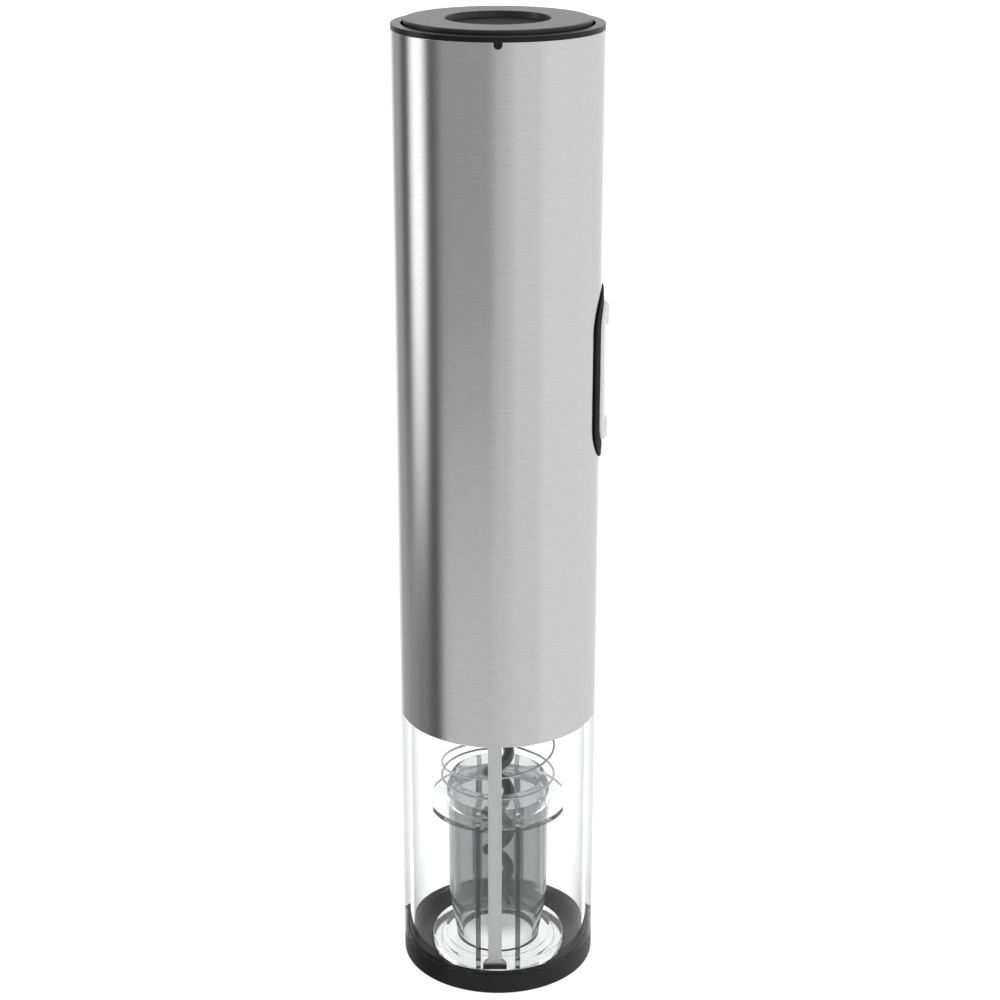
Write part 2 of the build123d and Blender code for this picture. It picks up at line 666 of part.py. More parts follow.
# ---- electrics ----------------------------------------------------------------------------------
def make_electrics():
    face = BOARD_X + BOARD_T
    save(block((BOARD_X, -BOARD_HALF, BOARD_Z[0]), (face, BOARD_HALF, BOARD_Z[1])), "circuit_board")
    half = SWITCH_SIZE / 2
    switches = []
    for side, name in ((1, "up_plunger"), (-1, "down_plunger")):
        z = BUTTON_Z + side * LEG_Z
        body = block((face, -half, z - half), (SWITCH_TOP_X, half, z + half))
        switches.append(cut(body, board_rod(z, 0, PLUNGER_R + FIT, PLUNGER_X[0] - 0.4, SWITCH_TOP_X + 1)))
        save(board_rod(z, 0, PLUNGER_R, *PLUNGER_X), name)
    save(group(*switches), "button_switches")
    lamps = [board_rod(BUTTON_Z + s * 5, 0, 1.3, face, face + 1.1) for s in (1, -1)]
    save(group(*lamps), "status_leds")
    save(block((BOARD_X - 2.6, -9, 165), (BOARD_X, -1, 181)), "motor_relay")

    low, high = LIMIT_Z
    body = block((-4.2, -20.9, low), (2.6, -15, high))
    bore = tube(0.8 + FIT, 0, low - 1, low + 2, (-0.78, -20.0 + 0.6))
    save(cut(body, bore), "limit_switch")
    save(tube(0.8, 0, LIMIT_PLUNGER_LOW, low + 1, (-0.78, -19.4)), "limit_plunger")


def board_rod(z, y, radius, low, high):
    """A cylinder lying along X."""
    with BuildPart() as body:
        with BuildSketch(Plane((low, y, z), x_dir=(0, 1, 0), z_dir=(1, 0, 0))):
            Circle(radius)
        extrude(amount=high - low)
    return body.part


def make_battery():
    floor_top = CHASSIS_TOP + TRAY_FLOOR
    tray = joined(tube(CHASSIS_R, 0, CHASSIS_TOP, floor_top), tube(TRAY_R, 0, floor_top, TRAY_TOP))
    wells = [tube(CELL_R + 0.1, 0, floor_top, TRAY_TOP + 1, place) for place in CELL_PLACES]
    save(cut(tray, *wells), "battery_tray")
    plates = [tube(5, 0, floor_top, floor_top + CONTACT_T, place) for place in CELL_PLACES]
    bumps = [tube(2, 0, floor_top + CONTACT_T, CELL_Z[0], place) for place in CELL_PLACES[1::2]]
    plates[1] = joined(plates[1], bumps[0])
    plates[3] = joined(plates[3], bumps[1])
    save(group(*plates), "tray_contacts")
    spring_z = floor_top + CONTACT_T
    height = CELL_Z[0] - spring_z - 2 * CONTACT_WIRE_R - FIT
    coils = [
        coil(CONTACT_SPRING_R, CONTACT_WIRE_R, height, 1, spring_z + CONTACT_WIRE_R, place)
        for place in CELL_PLACES[::2]
    ]
    save(group(*coils), "contact_springs")
    for k, place in enumerate(CELL_PLACES):
        low, high = CELL_Z
        body = tube(CELL_R, 0, low, high - CELL_BUTTON_H, place)
        nub = tube(CELL_BUTTON_R, 0, high - CELL_BUTTON_H, high, place)
        if k % 2:
            body = tube(CELL_R, 0, low + CELL_BUTTON_H, high, place)
            nub = tube(CELL_BUTTON_R, 0, low, low + CELL_BUTTON_H, place)
        save(joined(body, nub), "battery_cell_" + str(k + 1))


make_steel_shell()
make_top_ring()
make_battery_cap()
make_buttons()
make_tube_and_base()
make_trip_strip()
make_sleeve()
make_spring_and_worm()
make_frame()
make_gearbox()
make_motor()
make_electrics()
make_battery()
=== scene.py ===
"""Looks of the electric wine opener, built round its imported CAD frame.

Metres, +Z up, -Y front, +X buttons.
"""

import json
from math import cos, hypot, pi, radians, sin, sqrt, tau

import bmesh
import bpy
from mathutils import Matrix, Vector


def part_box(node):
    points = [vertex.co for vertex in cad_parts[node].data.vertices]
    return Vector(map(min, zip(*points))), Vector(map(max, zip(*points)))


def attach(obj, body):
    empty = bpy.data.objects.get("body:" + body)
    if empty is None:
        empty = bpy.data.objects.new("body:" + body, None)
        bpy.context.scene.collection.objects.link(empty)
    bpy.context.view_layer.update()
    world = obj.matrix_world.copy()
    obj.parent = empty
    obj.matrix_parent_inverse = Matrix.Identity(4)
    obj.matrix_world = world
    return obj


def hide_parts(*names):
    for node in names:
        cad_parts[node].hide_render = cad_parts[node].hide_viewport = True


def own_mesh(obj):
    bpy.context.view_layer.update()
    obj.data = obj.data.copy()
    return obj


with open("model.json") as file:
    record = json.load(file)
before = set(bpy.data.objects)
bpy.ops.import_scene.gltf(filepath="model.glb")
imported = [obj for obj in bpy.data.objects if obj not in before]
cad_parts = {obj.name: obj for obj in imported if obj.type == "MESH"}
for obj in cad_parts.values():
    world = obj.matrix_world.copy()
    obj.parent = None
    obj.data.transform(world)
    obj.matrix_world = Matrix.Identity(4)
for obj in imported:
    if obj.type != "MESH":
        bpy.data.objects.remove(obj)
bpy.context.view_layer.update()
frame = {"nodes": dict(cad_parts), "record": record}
MM = 0.001
TURN_STEPS = 256

# ---- places read from the frame -----------------------------------------------------------------
shell_low, shell_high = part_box("steel_shell")
ring_low, ring_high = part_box("top_ring")
cap_low, cap_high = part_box("battery_cap")
bezel_low, bezel_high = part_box("button_bezel")
rocker_low, rocker_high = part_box("button_rocker")
tube_low, tube_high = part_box("clear_tube")
base_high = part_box("base_ring")[1]
strip_low, strip_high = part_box("trip_strip")
sleeve_low, sleeve_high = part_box("sleeve_carrier")
barrel_low, barrel_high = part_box("cork_barrel")
spring_low, spring_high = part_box("return_spring")
worm_low, worm_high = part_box("worm")
BODY_R = shell_high[1]

# ---- details finer than the CAD -----------------------------------------------------------------
SHELL_WALL = 0.6 * MM
KEY_WIDTH = 2.0 * MM
KEY_DEPTH = 1.55 * MM
INNER_R = 24.3 * MM
TUBE_IN_R = 22.5 * MM
GROOVE = (23.3 * MM, 24.2 * MM, 3.4 * MM)
RING_BORE_R = 22.5 * MM
CAP_DISH_R = 12.04 * MM
CAP_DISH_DEPTH = 1.5 * MM
CAP_SKIRT = 5 * MM
CAP_SKIRT_IN = 1.4 * MM
BUTTON_SPAN = 22.8 * MM
BEZEL_HALF = 10.2 * MM
OPENING_HALF = 6.55 * MM
ROCKER_HALF = 6.15 * MM
ROCKER_FACE_R = 26.2 * MM
PAD_OFFSET = 3.0 * MM
PAD_R = 3.0 * MM
ROCKER_BACK_GAP = 2.3 * MM
NECK_R = 17.0 * MM
SEAT_R = 17.9 * MM
BARREL_R = 12.95 * MM
BARREL_LOW_R = 10.9 * MM
BARREL_WALL = 1.5 * MM
BARREL_TAPER_Z = 15.6 * MM
BARREL_RIB_R = 10.0 * MM
BARREL_RIBS = 6
FOOT_R = 17.6 * MM
FOOT_TAPER = 0.2 * MM
FOOT_TOP = 4.3 * MM
FOOT_SEAT_R = 15.1 * MM
FOOT_SEAT_Z = 3.0 * MM
FOOT_STEP_R = 14.1 * MM
FOOT_STEP_W = 0.8 * MM
FOOT_STEP_H = 0.4 * MM
FLANGE_R = 18.0 * MM
FLANGE_Z = 43.0 * MM
FLANGE_TOP = 44.5 * MM
FLANGE_FLAT_X = 16.9 * MM
COLLAR_R = 13.4 * MM
COLLAR_TOP = 47.0 * MM
LIP_R = 12.3 * MM
MOUTH_R = 11.5 * MM
MOUTH_LOW_R = 10.2 * MM
FIT = 0.05 * MM
WORM_PITCH = 11.5 * MM
WORM_R = 2.85 * MM
WORM_WIRE_R = 1.45 * MM
FIN_X = 5.1 * MM
FIN_T = 1.3 * MM
FIN_Y = 18.4 * MM
FIN_Z = 3.2 * MM
FIN_TOP = 46.8 * MM
RIB_Y = (13.2 * MM, 15.2 * MM)
SPRING_R = 14.6 * MM
SPRING_WIRE_R = 0.3 * MM
SPRING_TURNS = 7
STRIP_X = (-2.49 * MM, 0.94 * MM)
STRIP_T = 0.9 * MM
STRIP_SHOULDER_Z = 8.2 * MM
STRIP_BEND_Z = 6.8 * MM
SMOKE_HEIGHTS = (8.0 * MM, 12.5 * MM)
SOFT_EDGE = 0.25 * MM
BUTTON_Z = (bezel_low[2] + bezel_high[2]) / 2


# ---- mesh helpers -------------------------------------------------------------------------------
def finish_mesh(bm, name, body, *nodes, smooth=35):
    """Turns a bmesh into a piece that rides on a body and stands for CAD nodes."""
    bmesh.ops.remove_doubles(bm, verts=bm.verts, dist=1e-7)
    bmesh.ops.recalc_face_normals(bm, faces=bm.faces)
    mesh = bpy.data.meshes.new(name)
    bm.to_mesh(mesh)
    bm.free()
    piece = bpy.data.objects.new(name, mesh)
    bpy.context.scene.collection.objects.link(piece)
    shade(piece, smooth)
    if body:
        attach(piece, body)
    if nodes:
        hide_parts(*nodes)
    return piece


def shade(piece, smooth):
    """Smooth shading with true flats, broken only at real corners."""
    piece.data.polygons.foreach_set("use_smooth", [True] * len(piece.data.polygons))
    piece.data.set_sharp_from_angle(angle=radians(smooth))
    if "flats" not in piece.modifiers:
        flats = piece.modifiers.new("flats", "WEIGHTED_NORMAL")
        flats.keep_sharp = True


def rounded(points, radius, steps=4):
    """A closed outline with every corner rounded; a third value in a point is its own radius."""
    result = []
    count = len(points)
    for i, point in enumerate(points):
        here = Vector(point[:2])
        before = Vector(points[i - 1][:2]) - here
        after = Vector(points[(i + 1) % count][:2]) - here
        reach = min(point[2] if len(point) > 2 else radius, 0.45 * before.length, 0.45 * after.length)
        start = here + before.normalized() * reach
        end = here + after.normalized() * reach
        for k in range(steps + 1):
            t = k / steps
            result.append(tuple((1 - t) ** 2 * start + 2 * t * (1 - t) * here + t * t * end))
    return result


def loft(bm, loops, closed_loop=True, closed_rows=False):
    """Faces between rows of points; each row is a list of coordinates of one length."""
    rows = [[bm.verts.new(p) for p in loop] for loop in loops]
    pairs = list(zip(rows, rows[1:]))
    if closed_rows:
        pairs.append((rows[-1], rows[0]))
    for low, high in pairs:
        count = len(low)
        for i in range(count if closed_loop else count - 1):
            j = (i + 1) % count
            bm.faces.new((low[i], low[j], high[j], high[i]))
    return rows


def turned(name, outline, radius=SOFT_EDGE, steps=TURN_STEPS, body=None, nodes=()):
    """A solid of revolution from a closed (radius, height) outline."""
    bm = bmesh.new()
    shape = rounded(outline, radius)
    loops = []
    for r, z in shape:
        loops.append([(r * cos(tau * k / steps), r * sin(tau * k / steps), z) for k in range(steps)])
    loft(bm, loops, closed_rows=True)
    return finish_mesh(bm, name, body, *nodes)


def prism(name, outline, low, high, to_point):
    """A closed outline pushed from one depth to another; to_point maps (u, v, depth) to a place."""
    bm = bmesh.new()
    rows = loft(bm, [[to_point(u, v, d) for u, v in outline] for d in (low, high)])
    bm.faces.new(rows[0])
    bm.faces.new(rows[1])
    return finish_mesh(bm, name, None)


def stadium(half, span, count=96):
    """Points round a stadium whose long way is v."""
    points = []
    quarter = count // 2
    for side in (0, 1):
        for k in range(quarter + 1):
            angle = pi * side + pi * k / quarter
            middle = span / 2 if side == 0 else -span / 2
            points.append((half * cos(angle), middle + half * sin(angle)))
    return points


def combine(piece, tool, operation):
    """Applies a boolean and removes the tool."""
    step = piece.modifiers.new("join", "BOOLEAN")
    step.object = tool
    step.operation = operation
    step.solver = "EXACT"
    flats = piece.modifiers.get("flats")
    if flats:
        piece.modifiers.remove(flats)
    graph = bpy.context.evaluated_depsgraph_get()
    mesh = bpy.data.meshes.new_from_object(piece.evaluated_get(graph))
    piece.modifiers.clear()
    piece.data = mesh
    bpy.data.objects.remove(tool)
    shade(piece, 35)
    return piece


def softened(piece, width, steps=2):
    """Rounds the edges of a box-like piece."""
    bevel = piece.modifiers.new("bevel", "BEVEL")
    bevel.width = width
    bevel.segments = steps
    bevel.limit_method = "ANGLE"
    graph = bpy.context.evaluated_depsgraph_get()
    mesh = bpy.data.meshes.new_from_object(piece.evaluated_get(graph))
    piece.modifiers.clear()
    piece.data = mesh
    shade(piece, 35)
    return piece


def front_key(name, low, high, inner, outer, width):
    """A round-ended upright key at the front."""
    outline = stadium(width / 2, (high - low) - width, 32)
    middle = (low + high) / 2
    return prism(name, outline, inner, outer, lambda u, v, d: (u, -d, middle + v))


def box_piece(name, low, high, width=0.15 * MM):
    corners = [(low[0], low[1]), (high[0], low[1]), (high[0], high[1]), (low[0], high[1])]
    return softened(prism(name, corners, low[2], high[2], lambda u, v, d: (u, v, d)), width)


def wire(name, centres, radii, sides=14, body=None, nodes=()):
    """A round wire along a list of points, closed at both ends."""
    bm = bmesh.new()
    points = [Vector(c) for c in centres]
    across = Vector((0, 0, 1))
    loops = []
    for i, point in enumerate(points):
        along = (points[min(i + 1, len(points) - 1)] - points[max(i - 1, 0)]).normalized()
        side = along.cross(across).normalized()
        up = side.cross(along)
        across = up
        loops.append([point + radii[i] * (cos(tau * k / sides) * side + sin(tau * k / sides) * up)
                      for k in range(sides)])
    rows = loft(bm, loops)
    bm.faces.new(rows[0])
    bm.faces.new(rows[-1])
    return finish_mesh(bm, name, body, *nodes, smooth=50)


# ---- material helpers ---------------------------------------------------------------------------
def new_material(name):
    material = bpy.data.materials.new(name)
    material.use_nodes = True
    nodes = material.node_tree.nodes
    return material, nodes, material.node_tree.links, nodes["Principled BSDF"]


def noise(nodes, links, scale, stretch=(1, 1, 1), detail=3.0):
    """A noise value in object space, stretched by a scale along each axis."""
    where = nodes.new("ShaderNodeTexCoord")
    mapping = nodes.new("ShaderNodeMapping")
    mapping.inputs["Scale"].default_value = stretch
    grain = nodes.new("ShaderNodeTexNoise")
    grain.inputs["Scale"].default_value = scale
    grain.inputs["Detail"].default_value = detail
    links.new(where.outputs["Object"], mapping.inputs["Vector"])
    links.new(mapping.outputs["Vector"], grain.inputs["Vector"])
    return grain.outputs["Fac"]


def spread(nodes, links, value, low, high):
    """Maps a 0 to 1 value to a range."""
    span = nodes.new("ShaderNodeMapRange")
    span.inputs["From Min"].default_value = 0.25
    span.inputs["From Max"].default_value = 0.75
    span.inputs["To Min"].default_value = low
    span.inputs["To Max"].default_value = high
    links.new(value, span.inputs["Value"])
    return span.outputs["Result"]


def tint(nodes, links, value, dark, light):
    """Maps a 0 to 1 value to a colour between two."""
    ramp = nodes.new("ShaderNodeValToRGB")
    ramp.color_ramp.elements[0].position = 0.3
    ramp.color_ramp.elements[0].color = (*dark, 1)
    ramp.color_ramp.elements[1].position = 0.7
    ramp.color_ramp.elements[1].color = (*light, 1)
    links.new(value, ramp.inputs["Fac"])
    return ramp.outputs["Color"]


def bump(nodes, links, value, shader, strength, distance):
    node = nodes.new("ShaderNodeBump")
    node.inputs["Strength"].default_value = strength
    node.inputs["Distance"].default_value = distance
    links.new(value, node.inputs["Height"])
    links.new(node.outputs["Normal"], shader.inputs["Normal"])


def plastic(name, dark, light, rough=(0.3, 0.4), grain=2500, relief=0.05, ior=1.5):
    """Moulded plastic: slight mottling, a fine spark-eroded grain."""
    material, nodes, links, shader = new_material(name)
    shader.inputs["IOR"].default_value = ior
    cloud = noise(nodes, links, 60)
    fine = noise(nodes, links, grain)
    links.new(tint(nodes, links, cloud, dark, light), shader.inputs["Base Color"])
    links.new(spread(nodes, links, fine, *rough), shader.inputs["Roughness"])
    bump(nodes, links, fine, shader, relief, 0.05 * MM)
    return material


def metal(name, dark, light, rough=(0.2, 0.3), stretch=(1, 1, 1), scale=900, relief=0.05):
    """Bare metal with a directional grain."""
    material, nodes, links, shader = new_material(name)
    shader.inputs["Metallic"].default_value = 1.0
    fine = noise(nodes, links, scale, stretch)
    links.new(tint(nodes, links, fine, dark, light), shader.inputs["Base Color"])
    links.new(spread(nodes, links, fine, *rough), shader.inputs["Roughness"])
    bump(nodes, links, fine, shader, relief, 0.02 * MM)
    return material


def painted_edge_shading(nodes, links, face, edge, start, end):
    """Painted light and shade: a colour for walls seen face on that turns to another where they are seen edge
    on, standing in for what refraction and reflection do to a clear wall at a grazing angle.
    """
    weight = nodes.new("ShaderNodeLayerWeight")
    weight.inputs["Blend"].default_value = 0.5
    ramp = nodes.new("ShaderNodeValToRGB")
    ramp.color_ramp.elements[0].position = start
    ramp.color_ramp.elements[0].color = (*face, 1)
    ramp.color_ramp.elements[1].position = end
    ramp.color_ramp.elements[1].color = (*edge, 1)
    links.new(weight.outputs["Facing"], ramp.inputs["Fac"])
    return ramp.outputs["Color"]


def clear(name, face, edge, rough=(0.0, 0.02), ior=1.03, coat=0.2, start=0.6, end=0.97):
    """Clear moulded plastic, darker where a wall is seen edge on (painted shade), with a thin gloss."""
    material, nodes, links, shader = new_material(name)
    shader.inputs["Transmission Weight"].default_value = 1.0
    shader.inputs["IOR"].default_value = ior
    shader.inputs["Coat Weight"].default_value = coat
    shader.inputs["Coat IOR"].default_value = 1.5
    shader.inputs["Coat Roughness"].default_value = 0.03
    wave = noise(nodes, links, 90, (1, 1, 0.4))
    links.new(spread(nodes, links, wave, *rough), shader.inputs["Roughness"])
    bump(nodes, links, wave, shader, 0.02, 0.05 * MM)
    links.new(painted_edge_shading(nodes, links, face, edge, start, end), shader.inputs["Base Color"])
    return material


def smoke(name, body, body_edge_shading, tip, tip_edge_shading, heights, through, ior=1.05):
    """Translucent grey plastic that pales towards its thin lower end, between two heights."""
    material, nodes, links, shader = new_material(name)
    shader.inputs["IOR"].default_value = ior
    shader.inputs["Coat Weight"].default_value = 0.5
    shader.inputs["Coat IOR"].default_value = 1.5
    shader.inputs["Coat Roughness"].default_value = 0.05
    cloud = noise(nodes, links, 70, (1, 1, 0.3))
    links.new(spread(nodes, links, cloud, 0.02, 0.06), shader.inputs["Roughness"])
    bump(nodes, links, cloud, shader, 0.02, 0.05 * MM)
    where = nodes.new("ShaderNodeTexCoord")
    split = nodes.new("ShaderNodeSeparateXYZ")
    fade = nodes.new("ShaderNodeMapRange")
    fade.inputs["From Min"].default_value, fade.inputs["From Max"].default_value = heights
    mix = nodes.new("ShaderNodeMix")
    mix.data_type = "RGBA"
    links.new(where.outputs["Object"], split.inputs["Vector"])
    links.new(split.outputs["Z"], fade.inputs["Value"])
    links.new(fade.outputs["Result"], mix.inputs["Factor"])
    thin = nodes.new("ShaderNodeMapRange")
    thin.inputs["To Min"].default_value, thin.inputs["To Max"].default_value = through
    links.new(fade.outputs["Result"], thin.inputs["Value"])
    links.new(thin.outputs["Result"], shader.inputs["Transmission Weight"])
    # painted light and shade: each end's colour turns to a second colour where a wall is seen edge on
    links.new(painted_edge_shading(nodes, links, tip, tip_edge_shading, 0.35, 0.8), mix.inputs[6])
    links.new(painted_edge_shading(nodes, links, body, body_edge_shading, 0.5, 0.95), mix.inputs[7])
    links.new(mix.outputs[2], shader.inputs["Base Color"])
    return material


def frosted(name, dark, light, rough, through):
    """Milky clear plastic that lets part of the light through."""
    material = plastic(name, dark, light, rough, 1200, 0.03, 1.35)
    material.node_tree.nodes["Principled BSDF"].inputs["Transmission Weight"].default_value = through
    return material


def brushed_steel():
    """Steel brushed round the cylinder: fine lines along the circumference and a few wider flecks."""
    material, nodes, links, shader = new_material("brushed_steel")
    shader.inputs["Metallic"].default_value = 1.0
    shader.inputs["Anisotropic"].default_value = 0.85
    shader.inputs["Anisotropic Rotation"].default_value = 0.25
    where = nodes.new("ShaderNodeTexCoord")
    split = nodes.new("ShaderNodeSeparateXYZ")
    angle = nodes.new("ShaderNodeMath")
    angle.operation = "ARCTAN2"
    unrolled = nodes.new("ShaderNodeCombineXYZ")
    links.new(where.outputs["Object"], split.inputs["Vector"])
    links.new(split.outputs["X"], angle.inputs[0])
    links.new(split.outputs["Y"], angle.inputs[1])
    links.new(angle.outputs["Value"], unrolled.inputs["X"])
    links.new(split.outputs["Z"], unrolled.inputs["Z"])
    lines = []
    for along, across in ((7.0, 11000.0), (16.0, 5200.0), (55.0, 1500.0)):
        mapping = nodes.new("ShaderNodeMapping")
        mapping.inputs["Scale"].default_value = (along, 1.0, across)
        grain = nodes.new("ShaderNodeTexNoise")
        grain.inputs["Scale"].default_value = 1.0
        grain.inputs["Detail"].default_value = 2.0
        links.new(unrolled.outputs["Vector"], mapping.inputs["Vector"])
        links.new(mapping.outputs["Vector"], grain.inputs["Vector"])
        lines.append(grain.outputs["Fac"])
    grey = tint(nodes, links, lines[0], (0.70, 0.70, 0.70), (0.80, 0.80, 0.80))
    links.new(grey, shader.inputs["Base Color"])
    links.new(spread(nodes, links, lines[1], 0.19, 0.27), shader.inputs["Roughness"])
    both = nodes.new("ShaderNodeMath")
    both.operation = "MULTIPLY_ADD"
    both.inputs[1].default_value = 1.6
    links.new(lines[2], both.inputs[0])
    links.new(lines[1], both.inputs[2])
    bump(nodes, links, both.outputs["Value"], shader, 0.22, 0.02 * MM)
    tangent = nodes.new("ShaderNodeTangent")
    tangent.direction_type = "RADIAL"
    tangent.axis = "Z"
    links.new(tangent.outputs["Tangent"], shader.inputs["Tangent"])
    return material


STEEL = brushed_steel()
BLACK = plastic("satin_black", (0.0035, 0.0035, 0.004), (0.006, 0.006, 0.0065), (0.26, 0.34), ior=1.36)
BASE_BLACK = plastic("foot_black", (0.004, 0.004, 0.004), (0.007, 0.007, 0.007), (0.34, 0.44), ior=1.38)
# In each clear and smoke look the edge colour is painted shade where a wall is seen edge on; on the smoke
# barrel's outside above the fade it is a slightly lighter painted light.
CLEAR = clear("clear_acrylic", (0.985, 0.988, 0.988), (0.42, 0.43, 0.43), ior=1.03, coat=0.6, start=0.5)
SLEEVE_CLEAR = clear("sleeve_clear", (0.92, 0.925, 0.925), (0.05, 0.052, 0.054), (0.0, 0.03), 1.16, 0.7,
                     0.5, 0.93)
# painted shade: a dark grey copy of the clear sleeve plastic for its fins and the flange's outer rim,
# standing in for the dark look of clear walls seen edge on
FIN_PAINTED_SHADE = clear("fin_painted_shade", (0.16, 0.162, 0.164), (0.08, 0.082, 0.084), (0.0, 0.03), 1.08, 0.5, 0.3, 0.9)
SMOKE = smoke("smoke_grey", (0.37, 0.375, 0.375), (0.40, 0.405, 0.405), (0.95, 0.95, 0.95),
              (0.30, 0.305, 0.31), SMOKE_HEIGHTS, (0.96, 0.88))
# painted light: a near-white copy of the smoke grey for the bore and the funnel mouth, standing in for the
# bright light seen through the bore and the highlights on the mouth
SMOKE_PAINTED_LIGHT = smoke("smoke_bore_painted_light", (0.86, 0.865, 0.87), (0.34, 0.345, 0.35), (0.97, 0.97, 0.97),
                    (0.5, 0.505, 0.51), SMOKE_HEIGHTS, (0.97, 0.88))
BEZEL_BLACK = plastic("bezel_black", (0.0022, 0.0022, 0.0025), (0.004, 0.004, 0.0045), (0.42, 0.52), ior=1.14)
ROCKER = frosted("rocker_frost", (0.74, 0.745, 0.745), (0.82, 0.825, 0.825), (0.12, 0.2), 0.25)
CAP_BLACK = plastic("cap_satin", (0.010, 0.010, 0.0105), (0.014, 0.014, 0.0145), (0.30, 0.38), ior=1.5)
DISH_BLACK = plastic("dish_matte", (0.014, 0.014, 0.0145), (0.018, 0.018, 0.0185), (0.55, 0.65), ior=1.15)
COATING = plastic("worm_coating", (0.008, 0.008, 0.009), (0.014, 0.014, 0.015), (0.16, 0.26), 1800, 0.08)
STRIP = metal("strip_steel", (0.36, 0.37, 0.37), (0.42, 0.43, 0.43), (0.28, 0.4), (1, 1, 0.05), 6000)
SPRING = metal("spring_wire", (0.30, 0.31, 0.32), (0.42, 0.43, 0.44), (0.14, 0.22))


def paint(piece, material):
    piece.data.materials.clear()
    piece.data.materials.append(material)
    return piece


# ---- outer casing -------------------------------------------------------------------------------
def make_shell():
    r_in = BODY_R - SHELL_WALL
    piece = turned(
        "brushed_shell",
        [(r_in, shell_low[2]), (BODY_R, shell_low[2]), (BODY_R, shell_high[2]), (r_in, shell_high[2])],
        0.12 * MM, 360, "base", ("steel_shell",),
    )
    outline = stadium(BEZEL_HALF, BUTTON_SPAN)
    window = prism("window_tool", outline, BODY_R / 2, BODY_R * 1.2, lambda u, v, d: (d, u, BUTTON_Z + v))
    combine(piece, window, "DIFFERENCE")
    top = shell_high[2]
    low = shell_low[2]
    combine(piece, front_key("key_tool", top - KEY_DEPTH, top + 3 * MM, 0.8 * BODY_R, 1.1 * BODY_R,
                             KEY_WIDTH), "DIFFERENCE")
    combine(piece, front_key("key_tool", low - 3 * MM, low + KEY_DEPTH, 0.8 * BODY_R, 1.1 * BODY_R,
                             KEY_WIDTH), "DIFFERENCE")
    paint(piece, STEEL)


def make_top():
    top = shell_high[2]
    ring = turned(
        "collar",
        [(RING_BORE_R, ring_low[2]), (INNER_R, ring_low[2]), (INNER_R, top), (ring_high[0], top),
         (ring_high[0], ring_high[2]), (RING_BORE_R, ring_high[2])],
        0.2 * MM, body="base", nodes=("top_ring",),
    )
    combine(ring, front_key("collar_key", top - KEY_DEPTH + 0.1 * MM, top + 0.5 * MM, INNER_R - 0.5 * MM,
                            ring_high[0] - 0.1 * MM, KEY_WIDTH - 0.1 * MM), "UNION")
    paint(ring, BLACK)
    top = cap_high[2]
    edge = cap_high[0]
    floor = top - CAP_DISH_DEPTH
    cap = turned(
        "cap_disc",
        [(0.2 * MM, top - CAP_SKIRT), (edge - CAP_SKIRT_IN, top - CAP_SKIRT),
         (edge - CAP_SKIRT_IN, cap_low[2]), (edge, cap_low[2]), (edge, top, 0.5 * MM),
         (CAP_DISH_R + 0.3 * MM, top), (CAP_DISH_R, floor), (0.2 * MM, floor)],
        0.25 * MM, body="cap", nodes=("battery_cap",),
    )
    under = floor - 1 * MM
    plug = turned("dish_floor", [(0, under), (0.4 * MM, under), (0.4 * MM, floor), (0, floor)], 0)
    combine(cap, plug, "UNION")
    paint(cap, CAP_BLACK)
    cap.data.materials.append(DISH_BLACK)
    for face in cap.data.polygons:
        centre = face.center
        on_floor = abs(centre.z - floor) < SOFT_EDGE
        face.material_index = int(on_floor and hypot(centre.x, centre.y) < CAP_DISH_R)


def on_cylinder(radius, y):
    return sqrt(max(radius * radius - y * y, 0.0))


def make_bezel():
    """A stadium frame that follows the body's curve, with soft inner and outer edges."""
    proud = bezel_high[0]
    back = bezel_low[0]
    section = [
        (OPENING_HALF, back, True), (OPENING_HALF, proud - 0.35 * MM, False),
        (OPENING_HALF + 0.15 * MM, proud - 0.1 * MM, False), (OPENING_HALF + 0.4 * MM, proud, False),
        (BEZEL_HALF - 0.45 * MM, proud - 0.15 * MM, False),
        (BEZEL_HALF - 0.12 * MM, proud - 0.27 * MM, False), (BEZEL_HALF, proud - 0.5 * MM, False),
        (BEZEL_HALF, BODY_R - 1.2 * MM, False), (BEZEL_HALF, back, True),
    ]
    bm = bmesh.new()
    loops = []
    for half, depth, flat in section:
        loops.append([(depth if flat else on_cylinder(depth, y), y, BUTTON_Z + z)
                      for y, z in stadium(half, BUTTON_SPAN)])
    loft(bm, loops, closed_rows=True)
    piece = finish_mesh(bm, "bezel_frame", "base", "button_bezel")
    paint(piece, BEZEL_BLACK)


def make_rocker():
    """One clear see-saw with a soft edge and a raised pad at each end."""
    back = rocker_low[0] + ROCKER_BACK_GAP
    pad_h = rocker_high[0] - 0.15 * MM - ROCKER_FACE_R

    def face(y, z, drop):
        rise = 0.0
        for side in (1, -1):
            away = hypot(y, z - side * (BUTTON_SPAN / 2 + PAD_OFFSET)) / PAD_R
            if away < 1:
                rise = max(rise, pad_h * min(1.0, 1.6 * (1 - away**4)))
        return (on_cylinder(ROCKER_FACE_R - drop, y) + rise, y, BUTTON_Z + z)

    bm = bmesh.new()
    loops = [[(back, y, BUTTON_Z + z) for y, z in stadium(ROCKER_HALF, BUTTON_SPAN)]]
    for half, drop in ((0, 0.9), (0.05, 0.5), (0.2, 0.18), (0.5, 0.02)):
        loops.append([face(y, z, drop * MM) for y, z in stadium(ROCKER_HALF - half * MM, BUTTON_SPAN)])
    rings = 22
    for k in range(1, rings + 1):
        half = (ROCKER_HALF - 0.5 * MM) * (1 - k / rings) + 0.01 * MM
        loops.append([face(y, z, 0) for y, z in stadium(half, BUTTON_SPAN)])
    rows = loft(bm, loops)
    bm.faces.new(rows[0])
    bm.faces.new(rows[-1])
    piece = finish_mesh(bm, "rocker_face", "rocker", "button_rocker", smooth=50)
    paint(piece, ROCKER)


